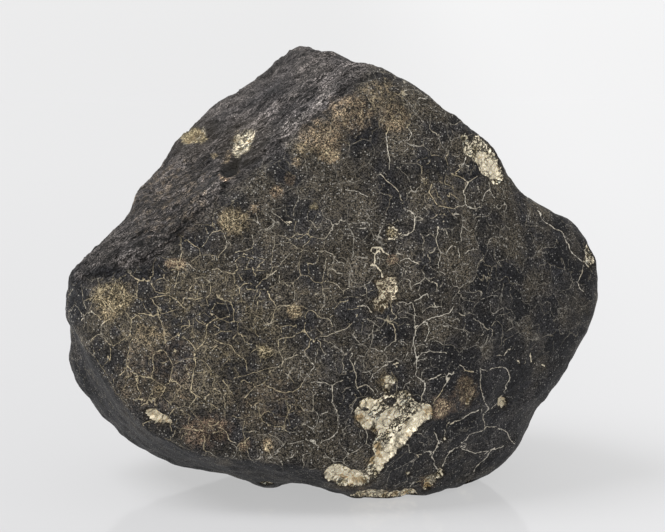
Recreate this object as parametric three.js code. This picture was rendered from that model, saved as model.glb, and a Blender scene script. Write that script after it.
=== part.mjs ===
// Chondrite meteorite: one crusted stone, in millimetres, +Z up, resting on a small flat spot.
// The stone is a blunt block of flat to hollowed facets. Its facets come from the convex hull of
// hand-placed corner points, the edges between them are worn round, and shallow hollows (thumbprints
// left by melting in flight) are pressed into it. Its long axis runs along X and its front faces -Y.
import * as THREE from "three";
import { ConvexHull } from "three/addons/math/ConvexHull.js";
import { mergeVertices } from "three/addons/utils/BufferGeometryUtils.js";

// Driving dimensions
const DETAIL = 19; // cuts in each edge of the icosahedron it starts from: 20 * (DETAIL + 1)^2 triangles
const EDGE_WEAR_PASSES = 2; // rounds off the edges, one pass per mesh spacing
const EDGE_WEAR = 0.6; // share of the way to the neighbours' middle in each pass
const HEART = new THREE.Vector3(0, 2, 27); // a point well inside, which every facet faces away from
const MERGE = 1e-5; // vertices of the unit ball closer than this are one

// Corner points where the facets meet, in rows along the stone's edges: [x, y, z]
const NOSE = [ // the blunt left end of the front
  [-33.8, -10, 30.4], [-35.6, -9.5, 28], [-34, -10.8, 24.8],
];
const BROW = [ // the ridge from the nose up to the crown, between the front and the upper left facet
  [-31, -14, 31.2], [-23.1, -16, 34.8], [-16.7, -16, 39], [-11.1, -15.2, 44], [-4.1, -14.2, 49.2],
  [2.2, -13.2, 54],
];
const CROWN = [ // the edge that falls from the crown to the notch above the right shoulder
  [6, -11, 56.6], [10.2, -10, 54.8], [14, -9, 52.2], [16.6, -8.5, 49], [20, -8, 46], [23.2, -7, 40.8],
];
const SHOULDER = [ // the low right shoulder and the blunt right end
  [30.9, 0, 36.2], [34.9, -1, 32.9], [36.6, -2, 27.4], [36, -3, 23.4], [33.6, -4, 19.6], [29.2, -5, 14.2],
  [26.9, -4, 9.8], [25.6, -2, 4.2],
];
const FRONT = [ // the front's slow bulge
  [-18, -19, 26], [1, -19.4, 27], [14, -17, 34], [23, -13, 24],
];
const CHIN = [ // the front's lower edge, from the nose to the chipped corner
  [-30, -15.6, 18.6], [-27.2, -17, 15], [-23.2, -18.4, 10.8], [-16.8, -20, 8.4], [-9.2, -20.6, 7.2],
  [-0.3, -20.2, 6], [5.4, -19, 6], [13.2, -18.4, 14],
];
const FAR_EDGE = [ // the skyline behind the upper left facet, up to the peak
  [-30.4, -4, 31.4], [-26.6, 0, 34.4], [-25.6, 3, 39], [-21, 4, 41.2], [-19.4, 5, 46.8], [-15.6, 6, 50.8],
  [-10.4, 7, 51.4], [-7.4, 8, 55.2], [-4.2, 8.5, 58.4], [-0.2, 6, 56.6],
];
const LEFT_FLANK = [ // the left side under the nose, down to the foot
  [-34.8, 1, 19.4], [-36, 1, 14], [-32, 2, 9.2], [-27.4, 1, 4.6], [-22.6, 0, 2.2], [-17.8, -1, 1.2],
];
const FOOT = [ // the small flat spot it rests on
  [-9, -6.4, 0], [3.6, -12, 0], [9.4, -12.2, 0], [13.6, -9.6, 0], [21, -3, 0], [16, 9, 0], [3, 12, 0],
  [-9, 8, 0],
];
const BACK = [
  [9, 14, 48], [-8, 19, 43.5], [20, 15, 35], [29, 13, 25], [26, 17, 13], [13, 26, 31], [-6, 27, 28],
  [-24, 19, 28], [-28, 15, 12], [-13, 24, 9], [9, 25, 8], [-26, 11, 33], [-15, 25, 20],
];

// Hollows pressed into the facets: centre, reach of the hollow and depth
const TOP_HOLLOWS = [ // the troughs behind the ridge, the dip beside the peak and the right notch
  { at: [-28, -1, 35], reach: 9, depth: 2 },
  { at: [-17, -7, 43], reach: 9, depth: 1.4 },
  { at: [-10, -4, 49], reach: 9, depth: 1.2 },
  { at: [3.6, -1, 57], reach: 5, depth: 1.1 },
  { at: [25.5, -1, 40], reach: 9, depth: 2.4 },
];
const SIDE_HOLLOWS = [ // under the nose, beside the foot and low on the right
  { at: [-36, -5, 20.5], reach: 5.5, depth: 2.3 },
  { at: [-31, -7, 17], reach: 8, depth: 1.4 },
  { at: [-14, -6, 2], reach: 5, depth: 0.6 },
  { at: [-2.8, -8.4, 0.5], reach: 6.5, depth: 2.4 },
  { at: [27.5, -3, 8.5], reach: 6, depth: 1.1 },
];
const BACK_HOLLOWS = [ // wide thumbprints that meet in low ridges
  { at: [13, 22, 37], reach: 15, depth: 2.6 },
  { at: [-13, 26, 26], reach: 13, depth: 2.2 },
  { at: [7, 27, 17], reach: 14, depth: 2.8 },
  { at: [27, 15, 20], reach: 12, depth: 2.2 },
  { at: [-24, 14, 30], reach: 12, depth: 1.9 },
  { at: [-1, 17, 47], reach: 12, depth: 1.9 },
  { at: [-22, 19, 12], reach: 10, depth: 1.5 },
];

const corners = [NOSE, BROW, CROWN, SHOULDER, FRONT, CHIN, FAR_EDGE, LEFT_FLANK, FOOT, BACK]
  .flat()
  .map(([x, y, z]) => new THREE.Vector3(x, y, z));

function facetPlanes() {
  const hull = new ConvexHull().setFromPoints(corners);
  return hull.faces.map((face) => new THREE.Plane(face.normal, -face.constant));
}

// How far the surface lies from the heart along a direction: the nearest facet plane that it meets
function facetReach(planes, direction) {
  let reach = Infinity;
  for (const plane of planes) {
    const towards = plane.normal.dot(direction);
    if (towards > 0) reach = Math.min(reach, -plane.distanceToPoint(HEART) / towards);
  }
  return reach;
}

// The neighbours of each vertex of an indexed mesh
function neighboursOf(geometry) {
  const around = Array.from({ length: geometry.attributes.position.count }, () => new Set());
  const { array } = geometry.index;
  for (let i = 0; i < array.length; i += 3)
    for (const [a, b] of [[0, 1], [1, 2], [2, 0]]) {
      around[array[i + a]].add(array[i + b]);
      around[array[i + b]].add(array[i + a]);
    }
  return around;
}

function wearEdges(points, around) {
  for (let pass = 0; pass < EDGE_WEAR_PASSES; pass++) {
    const middles = points.map((_, i) => {
      const middle = new THREE.Vector3();
      around[i].forEach((j) => middle.add(points[j]));
      return middle.divideScalar(around[i].size);
    });
    points.forEach((point, i) => point.lerp(middles[i], EDGE_WEAR));
  }
}

function pressHollows(points) {
  for (const { at, reach, depth } of [...TOP_HOLLOWS, ...SIDE_HOLLOWS, ...BACK_HOLLOWS]) {
    const centre = new THREE.Vector3(...at);
    const inward = HEART.clone().sub(centre).normalize();
    for (const point of points) {
      const share = point.distanceTo(centre) / reach;
      if (share < 1) point.addScaledVector(inward, depth * (1 - share * share) ** 2);
    }
  }
}

// A ball whose points are moved out to the facets, with its origin at the bottom centre of its box
function stoneGeometry() {
  const ball = new THREE.IcosahedronGeometry(1, DETAIL);
  ball.deleteAttribute("normal");
  ball.deleteAttribute("uv");
  const geometry = mergeVertices(ball, MERGE);
  const planes = facetPlanes();
  const position = geometry.attributes.position;
  const points = Array.from({ length: position.count }, (_, i) => {
    const direction = new THREE.Vector3().fromBufferAttribute(position, i).normalize();
    return direction.multiplyScalar(facetReach(planes, direction)).add(HEART);
  });
  wearEdges(points, neighboursOf(geometry));
  pressHollows(points);
  points.forEach((point, i) => position.setXYZ(i, point.x, point.y, Math.max(0, point.z)));
  const box = new THREE.Box3().setFromPoints(points);
  const middle = box.getCenter(new THREE.Vector3());
  return geometry.translate(-middle.x, -middle.y, 0);
}

const crust = new THREE.MeshStandardMaterial({ color: 0x35322f, roughness: 0.75, metalness: 0 });
const stone = new THREE.Mesh(stoneGeometry(), crust);
stone.name = "stone";

const meteorite = new THREE.Group();
meteorite.add(stone);
export default meteorite;
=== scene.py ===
import math
from functools import partial, reduce

import bmesh
import bpy
import numpy as np
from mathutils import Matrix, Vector, kdtree


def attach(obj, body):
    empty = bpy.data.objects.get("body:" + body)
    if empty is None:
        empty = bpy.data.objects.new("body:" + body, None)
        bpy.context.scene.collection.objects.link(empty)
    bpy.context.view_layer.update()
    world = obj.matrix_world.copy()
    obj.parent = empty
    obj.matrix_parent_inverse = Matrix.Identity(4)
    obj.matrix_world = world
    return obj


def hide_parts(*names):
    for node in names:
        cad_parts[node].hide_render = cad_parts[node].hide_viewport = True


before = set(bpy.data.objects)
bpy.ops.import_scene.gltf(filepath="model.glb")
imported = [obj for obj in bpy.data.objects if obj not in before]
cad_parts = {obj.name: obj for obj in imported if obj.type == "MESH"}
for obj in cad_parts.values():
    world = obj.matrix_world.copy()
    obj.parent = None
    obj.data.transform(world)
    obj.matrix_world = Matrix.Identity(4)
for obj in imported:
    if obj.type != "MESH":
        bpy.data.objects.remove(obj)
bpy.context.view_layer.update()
scene = bpy.context.scene


# ---- Standpoint ----
# The stone is seen from in front and a little above, from close by, as a palm-sized thing is. The marks
# on its front are drawn as they look from this standpoint, so the camera comes first.
MM = 0.001
AIM = Vector((-0.06, -3.1, 29)) * MM  # middle of the view, level with the stone's front
STAND_OFF = 350 * MM
LOOK_DOWN = math.radians(10)
LENS = 142.9
SENSOR_WIDTH = 36

sight = Vector((0, math.cos(LOOK_DOWN), -math.sin(LOOK_DOWN)))
standpoint = AIM - sight * STAND_OFF
camera = bpy.data.objects.new("camera", bpy.data.cameras.new("camera"))
camera.data.lens = LENS
camera.data.sensor_width = SENSOR_WIDTH
camera.location = standpoint
camera.rotation_euler = sight.to_track_quat("-Z", "Y").to_euler()
scene.collection.objects.link(camera)
scene.camera = camera


# ---- The stone's body ----
# A block of compacted chondrite with blunt facets. The frame gives its size and facets, and a finer skin
# over the same facets takes the small relief of the crust.
SKIN_LEVELS = 2
WELD = 0.001 * MM

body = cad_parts["stone"].data.copy()
welded = bmesh.new()
welded.from_mesh(body)
bmesh.ops.remove_doubles(welded, verts=welded.verts, dist=WELD)
welded.to_mesh(body)
welded.free()
stone = bpy.data.objects.new("crusted_stone", body)
scene.collection.objects.link(stone)
finer = stone.modifiers.new("finer skin", "SUBSURF")
finer.levels = finer.render_levels = SKIN_LEVELS


def settle(piece):
    """Turns what the modifiers make of a piece into its plain mesh, and removes them"""
    graph = bpy.context.evaluated_depsgraph_get()
    made = bpy.data.meshes.new_from_object(piece.evaluated_get(graph))
    piece.modifiers.clear()
    piece.data = made


def rows_of(vertices, name):
    """One vector for each vertex, in rows"""
    rows = np.empty(len(vertices) * 3)
    vertices.foreach_get(name, rows)
    return rows.reshape(-1, 3)


settle(stone)
skin = rows_of(stone.data.vertices, "co") / MM  # every point of the skin, in millimetres
outward = rows_of(stone.data.vertices, "normal")
skin_size = len(skin)


# ---- Front drawing ----
# What has happened to the crust on the front is drawn: knocks that broke it away, stains, dents
# and open cracks. Places are in millimetres right of and above the middle of the view.
right = np.array((1, 0, 0))
up = np.array((0, math.sin(LOOK_DOWN), math.cos(LOOK_DOWN)))
seen = skin - np.array(standpoint) / MM
depth = seen @ np.array(sight)
drawn = np.stack((seen @ right, seen @ up), 1) * (STAND_OFF / MM / depth)[:, None]
drawn_x, drawn_z = drawn.T
turned_away = np.einsum("ij,ij->i", outward, seen) / np.linalg.norm(seen, axis=1)


def fade(value, full, gone):
    """1 where a value is at full, 0 where it is at gone, smooth in between"""
    share = np.clip((value - gone) / (full - gone), 0, 1)
    return share * share * (3 - 2 * share)


FOLD_BACK = 5  # millimetres that a mark has lost by where the skin faces straight away
HIDDEN = 0.4  # turned away this far, the skin is past every mark's reach
PAST_REACH = 9.0
behind = np.clip(turned_away, 0, 1) * FOLD_BACK + (turned_away > HIDDEN) * PAST_REACH
exposed = fade(behind, 0, 2)


def smooth_line(corners, closed=False, steps=3):
    """A smooth line through corners, as a list of points"""
    corners = np.array(corners, float)
    if closed:
        around = np.concatenate((corners[-1:], corners, corners[:2]))
    else:
        around = np.concatenate((2 * corners[:1] - corners[1:2], corners, 2 * corners[-1:] - corners[-2:-1]))
    line = []
    for a, b, c, d in zip(around, around[1:], around[2:], around[3:]):
        bend = a - 2.5 * b + 2 * c - d / 2
        twist = 1.5 * (b - c) + (d - a) / 2
        for t in np.arange(steps) / steps:
            line.append(b + (c - a) * t / 2 + bend * t**2 + twist * t**3)
    if not closed:
        line.append(corners[-1])
    return np.array(line)


FAR_OFF = 1e3
NO_LENGTH = 1e-9


def to_line(line):
    """From each point of the skin, the way to the nearest place on a drawn line, and how far it is"""
    line = np.array(line, float)
    way = np.full(drawn.shape, FAR_OFF)
    far = np.full(skin_size, FAR_OFF)
    for start, end in zip(line, line[1:]):
        along = end - start
        share = np.clip((drawn - start) @ along / max(along @ along, NO_LENGTH), 0, 1)
        step = start + share[:, None] * along - drawn
        length = np.linalg.norm(step, axis=1)
        nearer = length < far
        way[nearer] = step[nearer]
        far[nearer] = length[nearer]
    return way, far


def near_line(line, full, gone):
    """1 along a drawn line, 0 well away from it"""
    return fade(to_line(line)[1] + behind, full, gone)


def inside(outline):
    """Which points of the skin lie in a drawn outline"""
    within = np.zeros(skin_size, bool)
    for (ax, az), (bx, bz) in zip(outline, np.roll(outline, -1, 0)):
        crosses = (az > drawn_z) != (bz > drawn_z)
        slope = (bx - ax) / (bz - az) if bz != az else 0
        within ^= crosses & (drawn_x < ax + (drawn_z - az) * slope)
    return within


def edge_distance(corners):
    """Distance of each point of the skin to a drawn outline, negative inside it"""
    outline = smooth_line(corners, closed=True)
    far = to_line(np.concatenate((outline, outline[:1])))[1]
    return np.where(inside(outline), -far, far)


def in_oval(x, z, half_width, half_height):
    """0 in the middle of a drawn oval, 1 at its edge, more outside"""
    return np.hypot((drawn_x - x) / half_width, (drawn_z - z) / half_height)


def oval_distance(x, z, half_width, half_height):
    """Distance to the edge of a drawn oval, negative inside it"""
    return (in_oval(x, z, half_width, half_height) - 1) * min(half_width, half_height)


WAVES = 6


def sway(points, reach, amount, seed):
    """Moves points by a smooth random field, so that straight borders come out curved"""
    draw = np.random.default_rng(seed)
    moved = points.copy()
    for _ in range(WAVES):
        direction = draw.normal(size=3)
        wave = draw.normal(size=3)
        wave *= 2 * math.pi / reach / np.linalg.norm(wave) * draw.uniform(0.6, 1.6)
        moved += amount * direction * np.sin(points @ wave + draw.uniform(0, 6.28))[:, None]
    return moved


# Knocks that broke the crust away, down to the pale rock
CHIN_BREAK = [
    (10.1, -16.7), (10.7, -17.6), (11.6, -18.4), (12.5, -18.2), (13.2, -18.7), (13.1, -20.2), (12.3, -20.4),
    (11.5, -21), (10.2, -22.3), (8.8, -23.9), (7.4, -25.5), (6.4, -26.8), (5.3, -28), (4, -28.6),
    (2.6, -29.1), (1, -28.9), (-0.4, -28.3), (-1.1, -27.7), (-0.5, -26.6), (0.7, -26.4), (1.9, -26.8),
    (3, -27.2), (4.2, -27.2), (5.2, -25.7), (5.6, -24.9), (5.4, -24.1), (5.8, -22.1), (4.3, -21.6),
    (3.4, -20.5), (3, -19), (4.5, -17.4), (5.8, -17.8), (6.9, -16.8), (6.4, -15.1), (7.4, -14.5),
    (8.3, -15), (8.1, -15.6), (7.5, -17), (9.1, -16.8),
]
SHOULDER_BREAK = [
    (17.6, 18), (17.8, 17.3), (18.6, 16.5), (19, 17.3), (20, 16.5), (21.2, 15.2), (22.1, 13.7),
    (22.7, 11.9), (21.9, 10.8), (20.7, 11.9), (19.8, 12.4), (19.6, 13.1), (18.4, 14.5), (17.8, 14.8),
    (17.3, 16.5),
]
CENTRE_BREAK = [
    (5.5, -1.9), (6.4, -1.7), (7.2, -1.1), (7.8, -1.5), (8.6, -1.5), (8.3, -2.3), (8.7, -3.2), (8.4, -4),
    (8.7, -4.7), (8, -4.4), (7.5, -4.7), (7.6, -5.5), (6.9, -5.8), (6.6, -6.4), (6.1, -5.9), (5.2, -6),
    (5.6, -5.3), (5.4, -4.6), (6.1, -4.2), (6.3, -3.3), (5.9, -2.7),
]
RIDGE_BREAK = [
    (-13.4, 15.5), (-13, 16.4), (-12.4, 17.3), (-11.4, 17.8), (-10.3, 18), (-10.8, 16.9), (-11.3, 15.9),
    (-12, 15.1), (-12.9, 14.8),
]
FAR_EDGE_BREAK = [
    (-19.8, 16.4), (-18.9, 17.3), (-17.6, 18), (-16.9, 18), (-17.2, 17.2), (-18.3, 16.7), (-19.1, 16.2),
]
CHIN_SLIVER = [
    (-24.7, -19.2), (-23.9, -19), (-22.9, -19.4), (-21.8, -20), (-21.3, -21), (-22.9, -20.8),
    (-24.2, -20.2),
]
FOOT_BREAK = [
    (4, -29.4), (6, -29.6), (7.5, -30.1), (9.9, -29.7), (11.2, -30), (10.5, -31), (6.3, -31.3), (2.3, -31),
]
CORNER_BREAK = [
    (11.9, -29.3), (12.5, -28.2), (13.5, -27.3), (14.3, -26.7), (14.7, -27.2), (14, -28), (12.5, -29.6),
]
BREAKS = [
    CHIN_BREAK, SHOULDER_BREAK, CENTRE_BREAK, RIDGE_BREAK, FAR_EDGE_BREAK, CHIN_SLIVER, FOOT_BREAK,
    CORNER_BREAK,
]
# Small ones: x, z, half width, half height
FLAKES = [
    (22.6, -18.2, 0.6, 0.65), (18, -18, 0.4, 0.5), (34.1, 1.6, 0.6, 1.6), (15, -22.9, 0.2, 0.2),
    (10.2, -27.6, 0.2, 0.2),
]
FLAKE_DEPTH = 0.12  # only the crust is off: how far inside a break's edge they get
# Crumbs of crust left inside a break
REMNANTS = [(7.6, -18, 0.9, 0.6), (4.4, -19, 0.5, 0.3)]

broken = np.full(skin_size, PAST_REACH)
for outline in BREAKS:
    broken = np.minimum(broken, edge_distance(outline))
for flake in FLAKES:
    broken = np.minimum(broken, np.maximum(oval_distance(*flake), -FLAKE_DEPTH))
for remnant in REMNANTS:
    broken = np.maximum(broken, -oval_distance(*remnant))
broken = broken + behind

# In the middle knock only a film of rock came off, in a lace of holes
lacy = fade(edge_distance(CENTRE_BREAK) + behind, 0.5, 0.9)

# Fresh rock, cream and bright, runs along the lower edge of the big knock
FRESH_LINES = [
    [(12.6, -19.2), (11, -20.8), (9.6, -22.4), (7.8, -24.6), (6.3, -26.5)],
    [(8.2, -19.6), (7, -20.6), (6.6, -21.6)], [(4.9, -18.4), (3.8, -19.6), (4.7, -20.8)],
    [(-24.3, -19.5), (-22, -20.6)], [(-0.6, -27.6), (1.5, -27.6), (3.4, -28.2)],
    [(20.4, 14.6), (21.9, 12.4)], [(22.5, -17.9), (22.7, -18.5)],
]
fresh = np.zeros(skin_size)
for line in FRESH_LINES:
    fresh = np.maximum(fresh, near_line(smooth_line(line), 0.3, 1.3))

# Bare glassy crust, blue-black, where no dust holds: x, z, half width, half height, how much
BARE = [
    (-14.3, -6.1, 3, 1.6, 0.9), (-24.7, -1.2, 2.2, 1.2, 0.9), (-21.7, -7.8, 2.6, 1.1, 0.8),
    (-28.8, -8.6, 1, 0.8, 0.9), (4.3, 17.1, 2.2, 1.3, 0.8), (6.8, 12.4, 1.6, 2, 0.5),
    (5.9, 23.1, 1.6, 0.9, 0.6), (18.7, 12.9, 1.3, 1.3, 0.9), (21.3, 1.2, 4, 3, 0.4), (30, -3, 6, 14, 0.7),
    (-5, 12, 3, 1.5, 0.5), (12, -22.6, 4, 2.4, 0.7), (3.5, 10, 3, 4, 0.3), (22.5, -7, 9, 8, 0.65),
    (20, -19, 13, 10, 0.95), (2.5, -19, 3, 4, 0.5), (-31, -9.5, 1.4, 2.4, 0.5), (9.2, -26.8, 5, 3.4, 0.95),
    (-34.2, -4.5, 1.8, 4, 0.9), (-27, -0.8, 6, 0.9, 0.7), (-9.5, 13.2, 3, 1.2, 0.5),
    (-17.5, 3.2, 3.5, 1.2, 0.5),
]
bare = np.zeros(skin_size)
for *spot, amount in BARE:
    bare = np.maximum(bare, amount * fade(in_oval(*spot), 0.3, 1.5) * exposed)

# Dust and rust that sit on the crust: x, z, half width, half height, how much, how red
STAINS = [
    (-29.2, -4.2, 2.9, 2.3, 0.88, 0.2), (-29.9, -6.2, 1.6, 1.2, 0.75, 0.3),
    (-20.8, 0.3, 1.5, 0.8, 0.9, 0.8), (-13.1, 6, 2.1, 1.9, 1, 0.3), (-10.3, 7.6, 1, 0.8, 0.6, 0.7),
    (-7.4, 9.8, 1, 0.8, 0.7, 0.7), (-5.6, 11.5, 0.8, 0.8, 0.6, 0.7), (-4.8, 13.9, 0.8, 0.8, 0.6, 0.5),
    (-0.5, 14.7, 1.5, 1.2, 0.9, 0.5), (2.5, 20.3, 3.4, 2.8, 0.62, 0.6), (6.2, 22.4, 3, 2.8, 0.5, 0.3),
    (8.2, 19.6, 2, 2, 0.75, 0.5), (-1.3, 17.1, 3.2, 2.4, 0.65, 0.6), (-3.6, 15.6, 1.6, 1.2, 0.5, 0.3),
    (-16.6, -21.7, 3.4, 2.2, 0.7, 0.9), (-11.6, -23.7, 0.8, 0.8, 0.9, 0.8),
    (-8.6, -23.7, 0.9, 0.9, 0.9, 0.5), (-5, -6.1, 1.1, 1.1, 1, 0.4), (-9, -11.4, 1.1, 1.1, 0.9, 0.1),
    (-22.9, -16.4, 0.9, 0.9, 0.7, 0.3), (-2.5, 8, 0.7, 0.7, 0.7, 0), (7.2, -3.4, 1.7, 2.4, 0.2, 0.6),
    (7.9, 0.9, 0.8, 0.8, 0.7, 0.9), (7.9, 4.5, 0.8, 0.8, 1, 0.1), (14.4, -18.9, 1.5, 1.5, 0.95, 0.9),
    (16.3, -18, 2.6, 1.8, 0.4, 0.9), (17.7, -16.4, 1.5, 2.2, 0.8, 0.7), (12.6, -28.6, 1.2, 1, 0.6, 0.9),
    (-18, -10, 14, 12, 0.25, 0.1), (7, -15.2, 1.3, 1.2, 0.45, 0.3), (3.9, -20.3, 1.1, 1.1, 0.6, 0.5),
    (2.8, -28.8, 2.6, 1, 0.5, 0.5), (-18.5, 17.2, 1.9, 1.1, 1, 0), (-14.3, 11.9, 0.7, 0.7, 0.7, 0.9),
    (-13.5, 13.7, 1, 1.8, 0.75, 0.5), (-15.5, 14.4, 0.5, 0.4, 0.7, 0.3), (-16.6, 14, 0.4, 0.3, 0.5, 0.3),
    (-12, 16.4, 1.5, 1.7, 0.35, 0), (-22, 9, 7, 6, 0.25, 0.5), (6.4, -24.6, 0.9, 1.1, 0.6, 0.4),
    (7, -30.4, 5.5, 0.9, 0.45, 0.6), (5, -25.9, 1, 0.8, 0.4, 0.3), (14.5, 11, 3, 4, 0.2, 0.1),
    (-9, -18, 6, 4, 0.3, 0.6), (-5, -3, 9, 9, 0.12, 0.3), (-23, -14, 7, 7, 0.3, 0.6),
    (-24, -9, 3, 2, 0.5, 0.3),
]
REDNESS = 0.3  # where no stain says otherwise
SWEPT = 0.3  # how far below none the dust counts on the right of the front
dust = np.zeros(skin_size)
redness = np.full(skin_size, REDNESS)
for *spot, amount, red in STAINS:
    here = amount * fade(in_oval(*spot), 0.5, 1.4) * exposed
    redness = np.where(here > dust, red, redness)
    dust = np.maximum(dust, here)
dust = np.where(dust > 0.05, dust, -SWEPT * exposed * fade(drawn_x, 12, 0))

# The other sides have knocks, stains and dents of their own, placed by bearing (from the front, to the
# right) and slope, in degrees as seen from the heart of the stone
HEART = np.array((0, 2, 27))
SIDE_KNOCKS = [  # bearing, slope, reach
    (102, -8, 1.9), (106, -11, 1.5), (112, -16, 0.9), (158, 24, 2.6), (163, 28, 2.2), (154, 18, 1.4),
    (204, -22, 1.9), (209, -25, 1.3), (236, 8, 1.2), (240, 11, 0.8), (186, -38, 1.7), (132, -32, 1.1),
    (262, -30, 1.3), (120, 38, 0.8), (196, 6, 0.7), (176, -8, 0.5), (142, 2, 0.6), (222, 34, 0.6),
    (250, -12, 0.5), (94, 14, 0.4), (170, 52, 0.9), (60, -52, 1.2), (330, -56, 1),
]
SIDE_STAINS = [  # bearing, slope, reach, how much, how red
    (150, 30, 5.5, 0.5, 0.2), (215, -12, 6.5, 0.5, 0.6), (128, -10, 4.5, 0.5, 0.3), (190, 40, 4, 0.6, 0.1),
    (245, 15, 3.6, 0.7, 0.3), (100, 8, 2.4, 0.6, 0.7), (168, -24, 3.2, 0.7, 0.8), (228, 24, 2, 0.8, 0.4),
    (182, 10, 1.6, 0.8, 0.2), (140, -28, 2.2, 0.7, 0.1), (258, -8, 1.6, 0.7, 0.6), (116, 30, 2.2, 0.6, 0.5),
]
SIDE_DENTS = [  # bearing, slope, reach, depth
    (172, 16, 2.4, 0.5), (198, -6, 3, 0.6), (146, -14, 2, 0.45), (226, 12, 2.2, 0.5), (122, 14, 2.6, 0.5),
    (206, 30, 1.6, 0.4), (252, -22, 1.8, 0.4), (160, -30, 1.6, 0.4), (134, 44, 1.4, 0.35),
    (186, -20, 1.2, 0.35),
]
from_heart = skin - HEART
from_heart /= np.linalg.norm(from_heart, axis=1)[:, None]


def side_distance(bearing, slope):
    """From each point of the skin, the distance to the place that a bearing and a slope lead to"""
    turn, rise = math.radians(bearing), math.radians(slope)
    leading = (math.sin(turn) * math.cos(rise), -math.cos(turn) * math.cos(rise), math.sin(rise))
    return np.linalg.norm(skin - skin[np.argmax(from_heart @ leading)], axis=1)


ragged = np.linalg.norm(sway(skin, 2.6, 0.35, 21) - skin, axis=1) - 0.8
for bearing, slope, reach in SIDE_KNOCKS:
    knock = side_distance(bearing, slope) - reach + ragged * min(1, reach) * (1 - exposed)
    broken = np.minimum(broken, knock)
for bearing, slope, reach, amount, red in SIDE_STAINS:
    here = amount * fade(side_distance(bearing, slope) / reach, 0.4, 1.3) * (1 - exposed)
    redness = np.where(here > dust, red, redness)
    dust = np.maximum(dust, here)

# Dents and beads: x, z, half width, half height, depth (raised where it is negative)
DENTS = [
    (-28.6, -8.2, 1, 0.9, 0.35), (-0.5, 14.7, 1.3, 1.1, 0.25), (4.6, 16.7, 2.4, 1.2, 0.35),
    (3.9, -20.7, 0.4, 0.4, 0.8), (-13.5, 13.4, 0.7, 1.2, 0.8), (18.8, 11.7, 0.4, 0.4, 0.5),
    (7, -3, 0.45, 0.5, 0.5), (7.9, 4.5, 0.7, 0.7, -0.15), (-4.7, 28.7, 2.4, 1.6, -0.6),
    (1.2, 28, 2, 1.4, -0.4), (-9.6, 25.4, 2, 1.6, 0.5), (-12.4, 23.4, 2.2, 1.6, 0.6),
    (-25.5, 9.2, 1.7, 1.7, -0.9), (-22.9, 13.4, 1.6, 1.6, 0.5), (-24.3, -1.3, 1.5, 0.7, 0.2),
]
pressed = np.zeros(skin_size)
for *spot, deep in DENTS:
    pressed += deep * np.exp(-(in_oval(*spot) ** 2)) * exposed
for bearing, slope, reach, deep in SIDE_DENTS:
    pressed += deep * np.exp(-((side_distance(bearing, slope) / reach) ** 2))

# The melt ran over the brow and off the chin, and froze there as a low bead
BROW = [
    (-36.1, -4), (-34.8, -3), (-24.6, -0.5), (-18.9, 4.1), (-13.2, 9.8), (-7.4, 14.7), (-0.2, 20.4),
    (4.2, 24.8), (5.6, 26.5),
]
CHIN = [
    (-35.3, -6.1), (-34.5, -7.4), (-30.8, -13.1), (-28.4, -16.7), (-24.2, -21.5), (-17.6, -24.3),
    (-9.6, -25.5), (-0.3, -26.7),
]
CREST = [
    (-35.5, -1.6), (-31, 0.2), (-24, 2.6), (-19.6, 7), (-14.4, 12.2), (-8.3, 17), (-2.2, 21.3), (2.6, 25.2),
]
CORNER = [(13.2, -18.7), (8.8, -23.9), (4.4, -28.8)]
CHIN_LIP = 0.45
CREST_LIP = 0.25
CORNER_LIP = 0.4
LIP_WIDTH = 1.5
chin_way, chin_far = to_line(smooth_line(CHIN))
crest_far = to_line(smooth_line(CREST))[1]
corner_far = to_line(smooth_line(CORNER))[1]
for far, lip in ((chin_far, CHIN_LIP), (crest_far, CREST_LIP), (corner_far, CORNER_LIP)):
    pressed -= lip * np.clip(1 - far / LIP_WIDTH, 0, 1) * fade(behind, 0, 1)
# Painted highlight: the skin close to the crest and the chin's edge, where the light catches them
rim_highlight = fade(np.minimum(chin_far, crest_far) + behind, 0.1, 0.8)

GROOVE = [(1.2, 23), (2.8, 24.3), (4.3, 25), (5.9, 25.4)]  # under a fold of melt
RIDGE_PIT = [(-13, 14.4), (-13.3, 13.6), (-14.1, 12.6)]  # a hole below the knock on the ridge
GROOVE_DEPTH = 0.35
PIT_DEPTH = 0.6
# The groove and the pit are also darkened in colour: painted shade in their hollows
PIT_SHADE = 1.8
CLEAN_GROOVE = 1.2  # no dust lies in them
groove = near_line(smooth_line(GROOVE), 0.05, 0.6)
pressed += GROOVE_DEPTH * groove
pit = near_line(RIDGE_PIT, 0.4, 0.85)
pressed += PIT_DEPTH * pit
groove = np.maximum(groove, PIT_SHADE * pit)
dust -= CLEAN_GROOVE * groove

# Above the brow the crust is drawn out in runs of melt
SLOPE_FACING = np.array((-0.55, -0.23, 0.80))
BROW_FACING = np.array((0.62, -0.78))  # square to the brow in the drawing, away from the runs
PAST_BROW = 5
brow_way, brow_far = to_line(smooth_line(BROW))
above_brow = np.where(brow_way @ BROW_FACING > 0, brow_far, -brow_far)
above_brow = np.where(turned_away > 0.05, PAST_BROW, above_brow)
runs = fade(above_brow, 1.4, -1.2) * fade(outward @ SLOPE_FACING, 0.55, 0.2)

# The surface is calm where it is sheltered under the chin, round the low right corner and below the big
# knock, high up in the runs, and at the right end
below_chin = np.where((chin_way[:, 1] > 0) & (drawn_x < 0), chin_far, -1)
sheltered = np.maximum(fade(below_chin, 0.6, 0), fade(outward[:, 2], -0.75, -0.45))
low_corner = fade(drawn_z, -10, -5) * fade(drawn_x, 18, 11) * exposed
below_knock = fade(oval_distance(9.2, -26.8, 5, 3.4), -1, 1) * exposed
low_corner = np.maximum(low_corner, below_knock)
high_runs = fade(brow_far * (runs > 0.5), 11, 4)
right_end = fade(drawn_x, 33, 24)
calm = np.maximum.reduce((0.55 * sheltered, 0.4 * low_corner, 0.55 * high_runs, 0.6 * right_end))
crest = fade(crest_far + behind, 0.4, 3.2) * runs
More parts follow.
